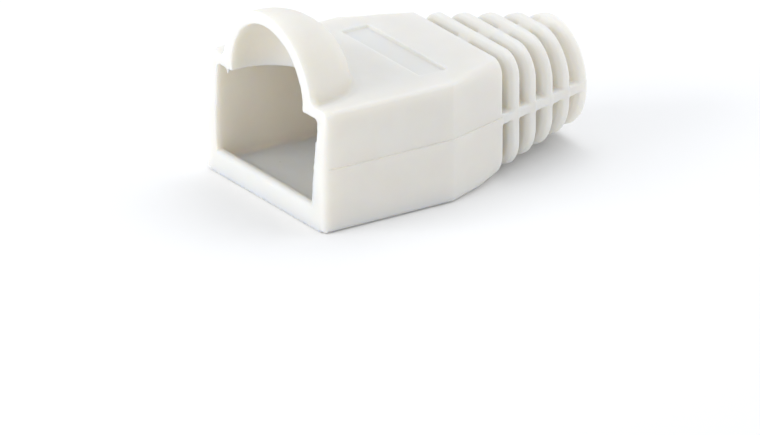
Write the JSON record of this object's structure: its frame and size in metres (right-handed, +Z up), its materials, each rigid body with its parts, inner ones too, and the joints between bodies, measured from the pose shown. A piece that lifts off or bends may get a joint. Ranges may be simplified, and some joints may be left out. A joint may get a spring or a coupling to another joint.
{
  "type": "rj45 strain relief boot",
  "caption": "White moulded strain relief boot for an RJ45 plug, with an arched latch guard over the mouth and a ribbed, tapering tail.",
  "frame": {"origin": "bottom centre of the boot's bounding box, on the face it rests on", "axes": "+Y from the plug mouth towards the tail, +Z up through the latch guard, +X across"},
  "size_m": [0.0144, 0.0232, 0.0133],
  "materials": {
    "pvc": "fine moulded satin"
  },
  "bodies": {
    "root": {"boot": "pvc"}
  },
  "joints": []
}
